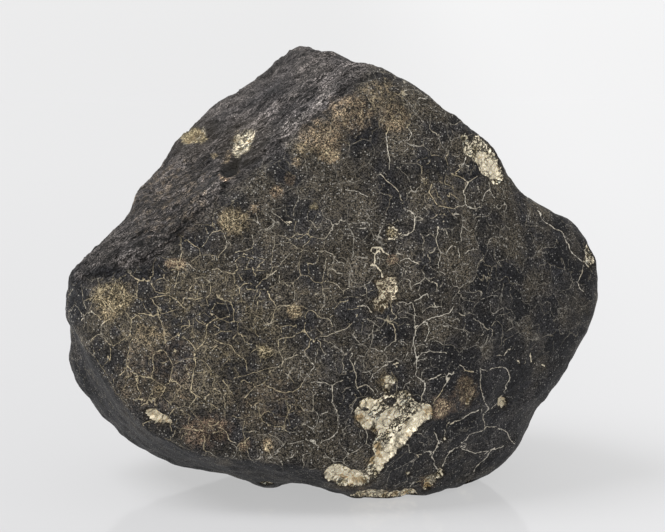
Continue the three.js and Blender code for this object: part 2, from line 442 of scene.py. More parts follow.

# Painted light and shade: in the runs the crust is darker low down and paler towards the crown, lit from
# above. The ground is also paler in a few wide patches: as for the bare crust
PALE_GROUND = [  # as for stains
    (13.5, 10.5, 5.5, 6, 0.2), (-2, -8, 9, 8, 0.09), (-9, -19, 7, 5, 0.09),
]
paler = runs * (0.6 * fade(drawn_z, 20, 8) - 0.2)
for *spot, amount in PALE_GROUND:
    paler += amount * fade(in_oval(*spot), 0.5, 1.4) * exposed

# Shrinkage cracks. The crust cooled faster than the rock and split into curved plates. The wide cracks of
# the front are drawn, and every other one is the border between the plates round two random seeds.
CRACKS = [
    # Round the middle knock and down to the low one
    [(8.9, -4.7), (9.9, -5), (10.7, -4.7), (11.5, -4), (12.6, -3.6), (12.7, -4.3)],
    [(10.7, -4.7), (10.9, -6.1), (11, -7.8), (10.9, -9.4), (11, -11.1), (11.2, -12.4), (11.1, -14.7),
     (12.2, -15.3)], [(12.2, -15.3), (12.3, -16.2), (11.9, -17.2), (11.7, -18.4)],
    [(12.2, -15.3), (13.2, -14.9), (14.5, -14.4)],
    [(10.9, -8.6), (11.9, -7.6), (12.6, -7.4), (12.9, -8.1), (12.7, -9.1), (12.3, -9.9)],
    [(11.9, -7.6), (13.4, -6.8), (15.2, -6.1), (16, -5.3)], [(16.6, -6.1), (17.6, -6.7)],
    [(11.2, -12.6), (11.9, -11.6), (12.9, -11.3), (15.2, -11.6)],
    [(15.4, -14.2), (14.5, -16.7), (13.4, -18.1)], [(16, -13.9), (14, -17.5)],
    [(0.3, -5.7), (1.1, -4.7), (2.3, -4.5)], [(3.4, -5.3), (4.4, -5.2), (5.2, -5.9)],
    # Low middle
    [(-4.3, -11.9), (-3, -10.6), (-1.9, -9.4), (-0.5, -9.2), (1.1, -8.7), (2.7, -7.6)],
    [(-1.9, -9.4), (-1.3, -10.9), (-1, -11.6)],
    [(2.5, -11.6), (2.3, -12.4), (2.9, -13.7), (3, -15.4), (3.3, -16.1), (4.3, -15.8), (5.2, -16.1),
     (5.5, -16.7)], [(-0.1, -15.9), (-1.3, -15.4), (-2.8, -15.4)], [(-0.1, -15.9), (1.5, -15.1)],
    [(-0.1, -15.9), (-0.1, -18), (0.6, -19.2), (0.8, -21.5)],
    [(0.8, -21.8), (-0.5, -22.9), (-2, -23.2), (-3.5, -22.9)],
    # Low right
    [(16.7, -13), (17.6, -13.7), (18.6, -14)],
    [(19.6, -13.7), (20.7, -13.9), (21.9, -13.2), (22.7, -13.3), (23.2, -13.9), (23.5, -14.8),
     (23.3, -15.9), (22.8, -16.9)],
    [(19.6, -13.7), (19.6, -14.6), (19.4, -16), (19.9, -17.6), (20.6, -18.9), (20, -19.6), (20.2, -21.4)],
    [(22.2, -18.1), (20.9, -19.1)], [(15.6, -21.1), (17.6, -20.1), (19.2, -19.1)],
    [(20.2, -21.4), (21.9, -21.4), (23.2, -22.1), (23.9, -23.4)],
    [(20.1, -21.6), (18.2, -22.4), (16.9, -23.4)],
    [(13.6, -22.1), (14.1, -23.4), (13.3, -24.4), (13.1, -25.4), (13.7, -26.7), (14.3, -27),
     (14.9, -25.4), (15.9, -24.4), (17.6, -23.7)], [(14.9, -21.7), (14.9, -23.1)],
    [(13.3, -24.4), (11.9, -24.7)], [(16.9, -24.1), (18.9, -24.7), (20.9, -24.4), (22.5, -23.7)],
    [(18.6, -27.1), (20.2, -25.7), (20.9, -24.4)], [(23.6, -10.9), (22.6, -11.9), (21.6, -11.8)],
    # Left half
    [(-16.1, -0.6), (-15.4, -0.2), (-14.7, -0.7), (-13.5, -0.9), (-12.6, -0.5), (-12.9, 0.6)],
    [(-18.2, -1.7), (-17, -1.4), (-16.1, -2.2), (-16.2, -3.6), (-16.9, -4.1), (-18.2, -4.6), (-19.7, -4),
     (-20, -5)], [(-16.9, -4.1), (-16.4, -5.3)], [(-13.1, -1), (-13, -2.3), (-12.3, -2.9), (-12.4, -3.8)],
    [(-9.7, -2.2), (-8.5, -1.3), (-7.6, -0.6)], [(-24.4, -4.4), (-23.3, -4), (-21.9, -3.9), (-20.8, -4.5)],
    [(-19.1, -7), (-19, -8.1), (-19.7, -8.4)], [(-15.7, -9.6), (-14.9, -10.2), (-16.1, -11.2)],
    [(-14.9, -10.2), (-13.5, -10.5), (-12.2, -12.1), (-11.4, -12.5), (-11.4, -13.9)],
    [(-10.6, -7.7), (-10.1, -8.9), (-9.7, -9.6)],
    [(-7.2, -9.8), (-7, -11.2), (-6.5, -12.5), (-6.8, -13.5), (-9, -13.8), (-11.8, -14.6), (-13.1, -14.8)],
    [(-7, -9.8), (-5.1, -9.3), (-3.7, -8.6), (-3.6, -7.7)],
    [(-3.7, -8.6), (-2.8, -9.7), (-3, -10.5), (-3.9, -11.6), (-5.1, -11.9), (-6.2, -12.4)],
    [(-2.8, -9.7), (-1.6, -10), (-1.1, -11.4)], [(-3.9, -11.6), (-3, -12.5), (-2.4, -13.2), (-3, -14.4)],
    [(-15, -14.4), (-15.7, -14.8), (-15.9, -16.2), (-14.5, -17.1), (-14.2, -18.3), (-14.3, -19.9)],
    [(-8.5, -15.3), (-10.4, -16), (-11.2, -17.1), (-11.8, -17.6), (-10.8, -18.5)],
    [(-8.5, -16), (-7.2, -16.5), (-6.2, -16.8), (-4.4, -16.2), (-3.5, -14.8), (-3, -14.4)],
    [(-10.1, -22.4), (-8.5, -22.4), (-7.4, -22.7), (-6.6, -23.6)],
    [(-6, -23.6), (-3.9, -23.4), (-3.2, -22.9), (-1.9, -24)],
    # Upper half
    [(7.4, 18.3), (7, 17.5), (7.2, 16), (7.6, 13.9), (7.5, 12.7)],
    [(27.2, 7.4), (28, 6.1), (28.8, 5.6), (29.7, 4.9), (30.7, 4.4), (30.9, 3.2), (32, 1.7), (33.5, 0.5)],
    [(33.5, 0.5), (32.8, -2.5), (33.7, -3.6)], [(21, 11.4), (21.1, 10.3), (21.3, 9.9), (21.7, 9.1)],
    [(21.1, 10.3), (20.5, 9.6), (20, 8.6)],
    [(17.3, 13.1), (16.2, 12.3), (17.5, 11.6), (18.1, 11.2), (19.5, 12.1)],
    [(18.1, 11.2), (17.6, 10.1), (17.6, 8), (18.5, 7.7), (19.8, 7.8)],
    [(17.8, 14.5), (17.5, 13.7), (16.4, 13.1), (16, 12.4)],
    [(13.4, 11.1), (12.9, 9.8), (14, 8), (16.5, 7.8), (17.5, 8)],
    [(6.3, 12.1), (7.6, 11.1), (8.9, 9.8), (9.4, 8.5)], [(1.8, 10.1), (3.3, 9.9), (4.6, 9.2)],
    [(9.4, 7.8), (10.9, 7), (11.9, 6.3)], [(10.9, 6.8), (11, 5.9), (10.9, 4.7), (9.9, 4), (8.9, 4)],
    [(8.9, 0.7), (9.9, 1.1), (11.4, 0.3)], [(14, 5.2), (13.8, 3.5), (14.3, 1.7), (14.1, -0.6), (15, -1.1)],
    [(15, 1.7), (16, 2.7), (16.7, 2.5), (16.7, 1.2)],
    [(-2.5, 1.7), (-1, 2.1), (0.1, 1.6), (0.8, 0.4), (1.8, 0.2)],
    [(-10.8, 4.3), (-10.5, 3.2), (-10.8, 2.2), (-11.8, 2), (-13.1, 1.8)],
    [(-13.1, 0.2), (-12.7, 1), (-11.5, 1.2), (-10.4, 0.9)], [(-8, 7.3), (-6.5, 5.9), (-5.3, 5.2)],
]
# Cream veins of broken rock, in and round the middle knock
VEINS = [
    [(5.3, 2), (5.5, 2.4), (6, 2.4), (6.1, 1.9), (5.7, 1.6), (5.5, 0.4), (6, -0.3), (6.6, -0.6),
     (6.7, -1.3)], [(5.2, 0.1), (6, -0.3)], [(6.4, 2.5), (6.7, 1.9), (7.5, 1.4)], [(5, -5.7), (5.3, -6.1)],
    # Specks
    [(8.1, -13.1), (8.8, -12.9)], [(8.4, -12.7), (8.5, -13.4)], [(22.1, -18.2), (23.1, -18)],
    [(22.5, -17.6), (22.6, -18.9)], [(22.2, -18.6), (23, -18.5)], [(26.4, -11.6), (26.6, -12.9)],
    [(24.7, -12.7), (24.95, -12.85)], [(28.1, -13.25), (28.3, -13.3)], [(11.2, -25.1), (11.3, -25.3)],
    [(-5.7, 5.9), (-5.4, 5.7)], [(0.7, -21.7), (0.9, -22)], [(7.6, 5.1), (8.2, 5.2), (8.7, 4.7)],
    [(7.4, 3.7), (8.1, 3.6), (8.4, 4)],
]
# Painted highlights: pale lines where the light catches the chin's sharp edge here and there
CHIN_EDGE_HIGHLIGHTS = [
    [(-34.3, -7.8), (-32.8, -9.9), (-30.7, -13.1), (-28.5, -16.4), (-26.6, -19)],
    [(-21.5, -22.9), (-18, -24.2)],
]
DRAWN_CRACK_STRENGTH = 1.1
CHIN_HIGHLIGHT_STRENGTH = 0.35
VEIN_STRENGTH = 2.6
CRACK_REACH = 0.55  # how far to each side the skin knows of a crack


def spread_seeds(spacing, seed):
    """Points of the skin, picked at random, that keep a spacing from each other"""
    order = np.random.default_rng(seed).permutation(skin_size)[: skin_size // 3]
    seeds = np.full((0, 3), FAR_OFF)
    for point in skin[order]:
        if not len(seeds) or np.min(np.sum((seeds - point) ** 2, 1)) > spacing**2:
            seeds = np.vstack((seeds, point))
    return seeds


def plate_borders(spacing, bend, seed):
    """From each point the way to the nearest border of its plate, how far it is, a chance of its own and
    the plate's tone"""
    seeds = spread_seeds(spacing, seed)
    places = sway(skin, spacing * 1.6, bend, seed)
    nearby = kdtree.KDTree(len(seeds))
    for i, place in enumerate(seeds):
        nearby.insert(place, i)
    nearby.balance()
    near = np.array([[found[1] for found in nearby.find_n(place, 4)] for place in places])
    own = seeds[near[:, 0]]
    way = np.zeros((skin_size, 3))
    far = np.full(skin_size, FAR_OFF)
    chance = np.zeros(skin_size)
    chances = np.random.default_rng(seed + 1).random(len(seeds) * 2)
    for k in (1, 2, 3):
        other = seeds[near[:, k]]
        gap = other - own
        length = np.linalg.norm(gap, axis=1)
        distance = np.einsum("ij,ij->i", (own + other) / 2 - places, gap) / length
        nearer = distance < far
        far[nearer] = distance[nearer]
        way[nearer] = (gap / length[:, None] * distance[:, None])[nearer]
        pair = near[:, 0] + near[:, k]
        chance[nearer] = chances[pair][nearer]
    own_tone = np.random.default_rng(seed + 2).uniform(-1, 1, len(seeds))[near[:, 0]]
    return way, far, chance, own_tone


WIDE_PLATES = 2.4  # spacing of the seeds
WIDE_BEND = 0.24
NARROW_PLATES = 1.35
NARROW_BEND = 0.14
wide_way, wide_far, wide_chance, plate_tone = plate_borders(WIDE_PLATES, WIDE_BEND, 5)
fine_way, fine_far, fine_chance, _ = plate_borders(NARROW_PLATES, NARROW_BEND, 11)

# The random cracks are strongest at both sides of the front, weaker high up, at the right end, under
# the chin and low on the right, where they are drawn, and there are none in the runs
EVERYWHERE = 0.75
in_front = EVERYWHERE + 0.25 * fade(drawn_x, -12, 0) + 0.15 * fade(drawn_x, 4, -4)
crack_zone = np.where(exposed > 0.5, in_front, EVERYWHERE)
crack_zone *= 1 - 0.6 * fade(drawn_z, 9, 3) * fade(drawn_x, 6, 12) * exposed
crack_zone *= 1 - 0.75 * fade(drawn_z, -13, -9) * fade(drawn_x, 14, 10) * exposed
crack_zone *= (1 - runs) * (1 - 0.75 * sheltered) * (1 - 0.55 * fade(drawn_x, 26, 19) * exposed)
wide_strength = (0.75 + 0.45 * fade(wide_chance, 0.95, 0.3)) * crack_zone
fine_strength = fade(fine_chance, 0.95, 0.4) * crack_zone * 0.85

# The drawn cracks, the veins and the painted highlights on the chin's edge all go in with the wide cracks
drawn_way = np.full((skin_size, 2), FAR_OFF)
drawn_far = np.full(skin_size, FAR_OFF)
drawn_strength = np.zeros(skin_size)
for lines, strength in (
    (CRACKS, DRAWN_CRACK_STRENGTH), (VEINS, VEIN_STRENGTH), (CHIN_EDGE_HIGHLIGHTS, CHIN_HIGHLIGHT_STRENGTH),
):
    for line in lines:
        way, far = to_line(line)
        nearer = far < drawn_far
        drawn_way[nearer] = way[nearer]
        drawn_far[nearer] = far[nearer]
        drawn_strength[nearer] = strength
drawn_far = drawn_far + behind
by_hand = drawn_far < np.maximum(wide_far * 0.5, CRACK_REACH * 1.5)
wide_way[by_hand] = (drawn_way[:, :1] * right + drawn_way[:, 1:] * up)[by_hand]
wide_far = np.where(by_hand, drawn_far, wide_far)
low_right = fade(drawn_z, -14, -9) * fade(drawn_x, 13, 9) * exposed
by_place = 0.83 + 0.4 * fade(drawn_x, 8, -6) - 0.08 * low_right * fade(drawn_x, 20, 17)
wide_strength = np.where(by_hand, drawn_strength * by_place, wide_strength)
wide_strength *= fade(wide_far, CRACK_REACH, CRACK_REACH * 1.6)
fine_strength *= fade(fine_far, CRACK_REACH * 0.7, CRACK_REACH * 1.2)

# What the relief and the finish read, a value or a vector for each point of the skin
KEPT = {
    "skin": skin, "break edge": broken, "dust": dust, "redness": redness, "pressed": pressed, "runs": runs,
    "calm": calm, "crest": crest, "paler": paler, "rim_highlight": rim_highlight, "fresh": fresh, "lacy": lacy,
    # under the chin and where the skin faces down, the bare mark also carries painted shade
    "bare": np.maximum(bare, 0.8 * sheltered), "groove": groove, "plate tone": plate_tone,
    "wide crack": wide_way, "wide crack strength": wide_strength,
    "fine crack": fine_way, "fine crack strength": fine_strength,
}
for name, values in KEPT.items():
    kind, field = ("FLOAT_VECTOR", "vector") if values.ndim == 2 else ("FLOAT", "value")
    kept_here = stone.data.attributes.new(name, kind, "POINT")
    kept_here.data.foreach_set(field, np.ascontiguousarray(values, np.float32).ravel())


# ---- Crust and rock finish ----
# The crust is a skin of dark glass and iron oxide, dull and full of grains of sand size. Where it is
# knocked off, the rock shows: cream and grey, crumbly, with rusty specks and round chondrules.
def feed(source, socket):
    """Links a socket to another node's, or gives it a value of its own"""
    if isinstance(source, bpy.types.NodeSocket):
        socket.id_data.links.new(source, socket)
    else:
        socket.default_value = source


def node(tree, kind, feeds, **settings):
    """A new node, with its inputs fed by values or by other nodes"""
    made = tree.nodes.new(kind)
    for setting, value in settings.items():
        setattr(made, setting, value)
    for name, source in feeds.items():
        feed(source, made.inputs[name])
    return made


def tree_of(*sources):
    """The node tree that some sources come from"""
    return next(source.id_data for source in sources if isinstance(source, bpy.types.NodeSocket))


def maths(operation, *sources):
    """A sum with single values, one or more of them from a node"""
    feeds = dict(enumerate(sources))
    return node(tree_of(*sources), "ShaderNodeMath", feeds, operation=operation).outputs[0]


def total(*sources):
    return reduce(partial(maths, "ADD"), sources)


def product(*sources):
    return reduce(partial(maths, "MULTIPLY"), sources)


def graded(value, gain, start):
    """A value times a gain, counted from a start"""
    return maths("MULTIPLY_ADD", value, gain, start)


def rest_of(share):
    return maths("SUBTRACT", 1, share)


def exponential(value):
    """A tone that a value of 0 leaves at 1"""
    return maths("POWER", math.e, value)


def vectors(operation, *sources):
    """A vector sum, product or length of one or two vectors"""
    feeds = dict(zip((0, 3) if operation == "SCALE" else (0, 1), sources))
    made = node(tree_of(*sources), "ShaderNodeVectorMath", feeds, operation=operation)
    return made.outputs["Value" if operation in ("DOT_PRODUCT", "LENGTH") else "Vector"]


def ramp(value, start, end):
    """0 where a value is at start, 1 where it is at end, smooth in between"""
    feeds = {"Value": value, "From Min": start, "From Max": end}
    return node(value.id_data, "ShaderNodeMapRange", feeds, interpolation_type="SMOOTHSTEP").outputs[0]


def mottle(point, size, detail=2, rough=0.5, warp=0, output=0):
    """Cloudy noise with blotches of a size in millimetres"""
    feeds = {"Vector": point, "Scale": 1 / size, "Detail": detail, "Roughness": rough, "Distortion": warp}
    return node(point.id_data, "ShaderNodeTexNoise", feeds).outputs[output]


def around_zero(noise, amount):
    """A value from 0 to 1 made one from -amount to amount"""
    return graded(noise, 2 * amount, -amount)


def uneven(point, size, amount, **kind):
    """Cloudy noise from -amount to amount"""
    return around_zero(mottle(point, size, **kind), amount)


def patches(point, size, start, end, **kind):
    """1 in patches where cloudy noise is past an end, 0 between them"""
    return ramp(mottle(point, size, **kind), start, end)


def shaken(point, size, amount):
    """A random shift that changes over a size, in millimetres"""
    return vectors("SCALE", vectors("SUBTRACT", mottle(point, size, output=1), (0.5,) * 3), amount)


def drawn_out(point, direction, stretch):
    """Coordinates squeezed along a direction, so that what is read there comes out long that way"""
    along = product(vectors("DOT_PRODUCT", point, direction), stretch)
    return vectors("SUBTRACT", point, vectors("SCALE", direction, along))


def cells(point, size, **settings):
    """A crowd of cells: the Distance from the middle, or to the edge, and a random Color for each"""
    feeds = {"Vector": point, "Scale": 1 / size}
    return node(point.id_data, "ShaderNodeTexVoronoi", feeds, **settings).outputs


def lots_of(crowd):
    """Three random numbers for each cell: Red, Green and Blue"""
    return node(crowd["Color"].id_data, "ShaderNodeSeparateColor", {"Color": crowd["Color"]}).outputs


def blend(share, first, second, how="MIX"):
    """Two colours mixed by a share"""
    feeds = {"Factor": share, 6: first, 7: second}
    tree = tree_of(share, first, second)
    return node(tree, "ShaderNodeMix", feeds, data_type="RGBA", blend_type=how).outputs[2]


def coated(base, *coats):
    """A colour under coats of others, each with its share"""
    for share, coat in coats:
        base = blend(share, base, coat)
    return base


def colour(code):
    """A colour as a painter's code of red, green and blue, made linear"""
    parts = [int(code[i : i + 2], 16) / 255 for i in (0, 2, 4)]
    return (*(c / 12.92 if c <= 0.04045 else ((c + 0.055) / 1.055) ** 2.4 for c in parts), 1)


def new_group(name, inputs, outputs):
    """A shader group with named sockets: its tree, and what it is given and gives"""
    kinds = {"Point": "Vector", "Way": "Vector", "Color": "Color"}  # the others are single values
    tree = bpy.data.node_groups.new(name, "ShaderNodeTree")
    for side, labels in (("INPUT", inputs), ("OUTPUT", outputs)):
        for label in labels:
            kind = "NodeSocket" + kinds.get(label, "Float")
            tree.interface.new_socket(label, in_out=side, socket_type=kind)
    return tree, tree.nodes.new("NodeGroupInput").outputs, tree.nodes.new("NodeGroupOutput").inputs


def use_group(tree, group, feeds):
    """The outputs of a group placed in a tree"""
    return node(tree, "ShaderNodeGroup", feeds, node_tree=group).outputs


# Grain: sand-sized specks, each of its own tone, in looser clumps
GRAIN_SIZE = 0.12
CLUMP_SIZE = 0.4
BRIGHTEST_GRAIN = 3
grain, given, gives = new_group("grain", ("Point", "Contrast"), ("Tone", "Hue", "Height"))
point = given["Point"]
lots = lots_of(cells(point, GRAIN_SIZE))
fuzz = mottle(point, GRAIN_SIZE, rough=0.7)
clumps = mottle(point, CLUMP_SIZE)
spread = total(around_zero(lots["Red"], 1.6), around_zero(fuzz, 2), around_zero(clumps, 0.3))
tone = exponential(product(spread, given["Contrast"]))
feed(maths("MINIMUM", tone, BRIGHTEST_GRAIN), gives["Tone"])
feed(lots["Green"], gives["Hue"])
feed(total(around_zero(fuzz, 1), around_zero(clumps, 0.6)), gives["Height"])

# Crack: a thin, jagged line of uneven width and strength along the way to a border
crack, given, gives = new_group("crack", ("Point", "Way", "Strength", "Width"), ("Line", "Shade"))
point = given["Point"]
shake = vectors("ADD", shaken(point, 1.6, 0.8), shaken(point, 0.5, 0.28))
across = vectors("NORMALIZE", given["Way"])
off = maths("ABSOLUTE", vectors("DOT_PRODUCT", vectors("ADD", given["Way"], shake), across))
width = product(given["Width"], graded(mottle(point, 0.3, detail=1), 3.2, -0.6))
off = maths("DIVIDE", off, width)  # counted in widths of the crack from here on
line = rest_of(ramp(off, 0.4, 1.5))
breaks = patches(point, 1.4, 0.08, 0.36, detail=3)
patchy = graded(patches(point, 0.5, 0.35, 0.62), 0.5, 0.55)
feed(product(line, given["Strength"], breaks, patchy), gives["Line"])
feed(product(ramp(off, 4.5, 1.8), given["Strength"], breaks), gives["Shade"])

# Broken rock: crumbly grains with dark seams between them, and round chondrules here and there
rock, given, gives = new_group("broken rock", ("Point", "Rust", "Fresh", "Lacy"), ("Color", "Height"))
ROCK_CREAM = colour("F1E5CA")
ROCK_PALE = colour("F0E6CE")
ROCK_OLIVE = colour("ACA288")
ROCK_GREY = colour("B9B8AB")
ROCK_DARK = colour("241E15")
ROCK_RUST = colour("A68857")
ROCK_WEATHERED = colour("6F6859")
CRUMB_LENGTH = 0.46
CRUMB_DIRECTION = (0.72, -0.05, 0.69)  # the rock splits along it
CRUMB_STRETCH = 0.72
CHONDRULE_SPACING = 1.9
point = given["Point"]
place = vectors("ADD", drawn_out(point, CRUMB_DIRECTION, CRUMB_STRETCH), shaken(point, 0.5, 0.9))
crumb_lots = lots_of(cells(place, CRUMB_LENGTH))
seam = ramp(cells(place, CRUMB_LENGTH, feature="DISTANCE_TO_EDGE")["Distance"], 0.2, 0.06)
fresh_here = ramp(total(given["Fresh"], uneven(point, 0.8, 0.7)), 0.3, 0.7)
blotches = mottle(point, 1.3, detail=3, rough=0.6)
creamy = total(blotches, product(crumb_lots["Green"], 0.12))
chondrules = cells(point, CHONDRULE_SPACING)
from_middle = chondrules["Distance"]
has_round = ramp(lots_of(chondrules)["Red"], 0.35, 0.4)
is_round = product(has_round, ramp(from_middle, 0.32, 0.3))
round_rim = product(has_round, ramp(from_middle, 0.28, 0.32), ramp(from_middle, 0.4, 0.35))
ring = product(is_round, ramp(from_middle, 0.2, 0.26))
ground = coated(
    blend(ramp(blotches, 0.38, 0.5), ROCK_OLIVE, ROCK_PALE),
    (ramp(crumb_lots["Red"], 0.82, 0.9), ROCK_GREY),
    (ramp(creamy, 0.56, 0.62), ROCK_CREAM),
    (is_round, ROCK_PALE),
    (product(ring, 0.8), ROCK_CREAM),
    (product(fresh_here, 0.7), ROCK_CREAM),
)

# Where only a film of rock came off, cream lines run round holes full of old crust
LACE_HOLE = 0.62
LACE_DARK = colour("463D30")
LACE_BROWN = colour("655B4E")
netted = vectors("ADD", point, shaken(point, 0.45, 1.5))
hole_edge = cells(netted, LACE_HOLE, feature="DISTANCE_TO_EDGE")["Distance"]
in_holes = blend(ramp(blotches, 0.42, 0.56), LACE_DARK, LACE_BROWN)
lace = product(ramp(hole_edge, 0.17, 0.05), patches(point, 0.8, 0.36, 0.5))
ground = blend(given["Lacy"], ground, blend(product(lace, 0.8), in_holes, ROCK_CREAM))

# Each crumb has its own tone, rust has crept in, and seams and pits are dark
BRIGHTEST_CRUMB = 1.95
contrast = graded(given["Rust"], -0.35, 1)
sand = mottle(point, 0.14, rough=0.7)
crumb_tone = total(
    around_zero(sand, 2.4), around_zero(crumb_lots["Blue"], 0.5), uneven(place, 0.45, 2.5, rough=0.6),
)
sandy = maths("MINIMUM", exponential(graded(contrast, crumb_tone, 0.86)), BRIGHTEST_CRUMB)
rusty = ramp(total(mottle(point, 0.9), product(given["Rust"], 0.25)), 0.57, 0.75)
ground = blend(product(rusty, graded(given["Lacy"], -0.6, 0.7)), ground, ROCK_RUST)
ground = blend(1, ground, sandy, "MULTIPLY")
gaps = product(seam, patches(point, 0.7, 0.32, 0.44), contrast)
gaps = product(gaps, graded(fresh_here, -0.5, 0.95), rest_of(given["Lacy"]))
pits = patches(place, 0.8, 0.38, 0.3, detail=3, rough=0.7)
ground = coated(
    ground,
    (gaps, ROCK_DARK),
    (product(round_rim, contrast, 0.6), ROCK_DARK),
    (product(pits, contrast, graded(fresh_here, -0.7, 0.9)), ROCK_DARK),
)
feed(ground, gives["Color"])
rock_height = total(product(seam, -0.1), product(gaps, -0.12), product(pits, -0.22), around_zero(sand, 0.08))
feed(rock_height, gives["Height"])

# The finish itself
CRUST_TONE = colour("2F2C28")
CRUST_BLUE = colour("232326")
CRUST_TAN = colour("373229")
# the colour of the painted highlight along the crest and the chin's edge
CRUST_RIM_HIGHLIGHT = colour("6A6763")
CRUST_IN_RUNS = colour("2D2A29")
DUST_TAN = colour("625943")
DUST_RED = colour("5F4E41")
DUST_PALE = colour("AEA184")
CRACK_PALE = colour("E4DDCE")
CRACK_TAN = colour("DBCBA8")
GLINT = colour("D8D4CC")
GRAIN_CONTRAST = 1.6
GLINT_SPACING = 0.27
WIDE_WIDTH = 0.035  # half the width of a crack of strength 1
STRONG_WIDTH = 0.05  # and of strength 2
FINE_WIDTH = 0.03
CRACK_SHADE = 0.38  # the plates are a little darker beside a crack
RUNS_ALONG = ((0.81, -0.04, 0.58), 0.78)  # the direction of the runs of melt, and their stretch

finish = bpy.data.materials.new("crust")
finish.use_nodes = True
tree = finish.node_tree
shader = tree.nodes["Principled BSDF"]


def stored(name, output="Fac"):
    """What the skin keeps under a name, as a value or as a Vector"""
    return node(tree, "ShaderNodeAttribute", {}, attribute_name=name).outputs[output]


point = stored("skin", "Vector")
sharpness = graded(stored("calm"), -0.85, 1)
in_runs = stored("runs")
out_of_runs = rest_of(in_runs)
crest_here = stored("crest")
dusty = stored("dust")
film = product(uneven(point, 0.8, 1), graded(maths("MAXIMUM", dusty, 0), 0.6, 0.35))
film = ramp(total(dusty, film), 0.1, 1)

# The tone of the grains, and of the fibres that the runs are drawn into
clearness = product(sharpness, graded(film, -0.15, 1), graded(in_runs, -0.25, 1))
specks = use_group(tree, grain, {"Point": point, "Contrast": product(clearness, GRAIN_CONTRAST)})
wavy = drawn_out(vectors("ADD", point, shaken(point, 1.6, 1.3)), *RUNS_ALONG)
streaks = maths("SUBTRACT", 0.5, maths("ABSOLUTE", uneven(wavy, 0.55, 3, detail=1)))
fibrous = total(product(streaks, graded(crest_here, 0.5, 1.4)), uneven(wavy, 0.2, 1.5, detail=1))
streak_tone = exponential(product(fibrous, in_runs, sharpness))

# The crust's own colours, then the dust and rust on it
drift = mottle(point, 4.5, detail=3)
plate = stored("plate tone")
# Bare crust is blue-black; where the mark comes from the skin under the chin it is painted shade
bare_and_shade_here = ramp(total(stored("bare"), around_zero(drift, 0.5), product(plate, 0.25)), 0.1, 0.9)
tanned = product(specks["Hue"], out_of_runs, ramp(drift, 0.68, 0.4))
dust_tone = blend(stored("redness"), DUST_TAN, DUST_RED)
caked = ramp(total(product(film, 0.5), uneven(point, 0.33, 1.1)), 0.45, 0.68)
# Painted shade under the chin and a painted highlight along the crest and the chin's edge are laid on here
# too
base = coated(
    blend(product(ramp(drift, 0.4, 0.62), 0.7), CRUST_TONE, CRUST_BLUE),
    (product(in_runs, 0.8), CRUST_IN_RUNS),
    (tanned, CRUST_TAN),
    (product(bare_and_shade_here, 0.85), CRUST_BLUE),
    (product(film, 0.9), dust_tone),
    (product(caked, film, film, 0.9), blend(0.5, dust_tone, DUST_PALE)),
    (product(stored("rim_highlight"), patches(point, 0.35, 0.4, 0.6), 0.09), CRUST_RIM_HIGHLIGHT),
)
ribs = uneven(drawn_out(point, *RUNS_ALONG), 1.7, 1.2, detail=1)
# The tone: random clouds, with painted light and shade: darker where bare or under the chin, in the groove
# and the pit, and low in the runs, paler up the runs
cloudy = exponential(total(
    product(ribs, in_runs), uneven(point, 3, 0.6, detail=1), product(plate, -0.24), around_zero(drift, -0.8),
    product(bare_and_shade_here, -0.38), stored("paler"), product(crest_here, -0.12), product(stored("groove"), -1.1),
    0.17,
))
toned = blend(1, base, product(specks["Tone"], streak_tone, cloudy), "MULTIPLY")

# Tiny glints: bright dots, one here and there, painted highlights of grains that catch the light
glint_cells = cells(point, GLINT_SPACING)
chosen = ramp(total(lots_of(glint_cells)["Red"], product(film, 0.12)), 0.72, 0.86)
painted_glint = product(chosen, ramp(glint_cells["Distance"], 0.4, 0.2), sharpness, out_of_runs, 0.6)
toned = blend(painted_glint, toned, blend(film, GLINT, DUST_PALE))

# The cracks, pale with what has settled in them
wide_amount = stored("wide crack strength")
wide_width = graded(wide_amount, STRONG_WIDTH - WIDE_WIDTH, 2 * WIDE_WIDTH - STRONG_WIDTH)
wide = use_group(tree, crack, {
    "Point": point, "Way": stored("wide crack", "Vector"), "Strength": wide_amount, "Width": wide_width,
})
fine = use_group(tree, crack, {
    "Point": point, "Way": stored("fine crack", "Vector"), "Strength": stored("fine crack strength"),
    "Width": FINE_WIDTH,
})
cracked = maths("MINIMUM", maths("MAXIMUM", wide["Line"], fine["Line"]), 1)
shade = maths("MINIMUM", maths("MAXIMUM", wide["Shade"], fine["Shade"]), 1)
settled = ramp(total(dusty, around_zero(drift, 0.3)), -0.05, 0.2)
toned = coated(
    toned, (product(shade, CRACK_SHADE), ROCK_DARK), (cracked, blend(settled, CRACK_PALE, CRACK_TAN))
)

# The broken places, each with a dark rim of painted shade along its edge, and the veins
edge = total(stored("broken"), uneven(point, 0.35, 0.2))
edge = maths("DIVIDE", edge, graded(in_runs, 6, 1))
rocky = ramp(edge, 0.05, -0.05)
edge_shade = product(ramp(edge, 0.45, 0.1), ramp(edge, -0.02, 0.05))
rock_look = use_group(
    tree, rock, {"Point": point, "Rust": dusty, "Fresh": stored("fresh"), "Lacy": stored("lacy")}
)
weathered = product(ramp(dusty, 0.5, 1), 0.65)
rock_tone = coated(rock_look["Color"], (weathered, ROCK_WEATHERED), (product(in_runs, 0.12), CRUST_TAN))
vein = maths("MINIMUM", product(wide["Line"], ramp(wide_amount, 1.7, 2)), 1)
toned = coated(toned, (product(edge_shade, 0.5), ROCK_DARK), (rocky, rock_tone), (vein, ROCK_CREAM))
feed(toned, shader.inputs["Base Color"])
feed(graded(rocky, 0.25, 0.58), shader.inputs["Roughness"])
shader.inputs["Specular IOR Level"].default_value = 0.18

bumps = total(
    product(specks["Height"], 0.06, sharpness),
    product(streaks, in_runs, 0.14, sharpness),
    product(cracked, -0.04),
    product(rocky, rock_look["Height"]),
)
relief = node(tree, "ShaderNodeBump", {"Height": bumps, "Distance": MM, "Strength": 1})
feed(relief.outputs[0], shader.inputs["Normal"])


